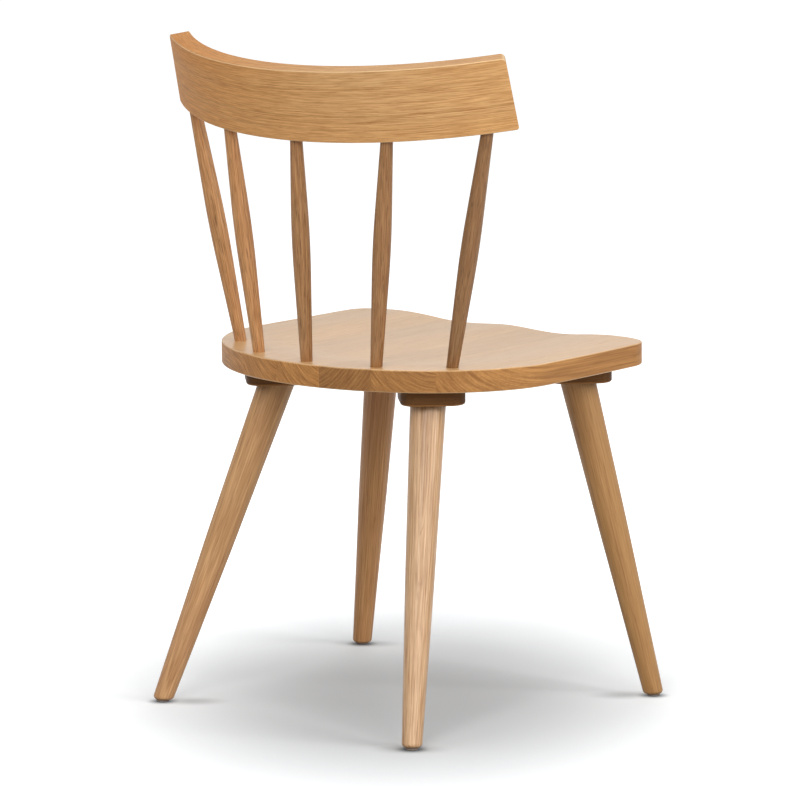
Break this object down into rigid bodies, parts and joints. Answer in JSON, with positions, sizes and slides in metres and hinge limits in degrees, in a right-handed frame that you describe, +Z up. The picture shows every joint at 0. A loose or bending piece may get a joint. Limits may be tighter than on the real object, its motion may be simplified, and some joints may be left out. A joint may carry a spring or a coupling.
{
  "type": "spindle back chair",
  "caption": "Oak spindle back dining chair: saddled seat on raked tapered legs, with a fan of turned spindles carrying a bent, leaning crest rail.",
  "frame": {"origin": "on the floor, in the middle of the chair's footprint", "axes": "+Z up, the sitter faces -Y, +X is the sitter's left"},
  "size_m": [0.551, 0.4521, 0.8365],
  "materials": {
    "seat_oak": "clear satin lacquer over natural oak",
    "turned_oak": "clear satin lacquer over natural oak",
    "block_oak": "clear satin lacquer over natural oak",
    "bent_oak": "clear satin lacquer over natural oak",
    "glide_nylon": "moulded nylon, matt"
  },
  "bodies": {
    "root": {"seat_board_1": "seat_oak", "seat_board_2": "seat_oak", "seat_board_3": "seat_oak", "seat_board_4": "seat_oak", "seat_board_5": "seat_oak", "seat_board_6": "seat_oak", "seat_board_7": "seat_oak", "front_left_leg": "turned_oak", "front_right_leg": "turned_oak", "back_left_leg": "turned_oak", "back_right_leg": "turned_oak", "front_left_block": "block_oak", "front_right_block": "block_oak", "back_left_block": "block_oak", "back_right_block": "block_oak", "spindle_1": "turned_oak", "spindle_2": "turned_oak", "spindle_3": "turned_oak", "spindle_4": "turned_oak", "spindle_5": "turned_oak", "crest_rail": "bent_oak", "front_left_glide": "glide_nylon", "front_right_glide": "glide_nylon", "back_left_glide": "glide_nylon", "back_right_glide": "glide_nylon"}
  },
  "joints": []
}
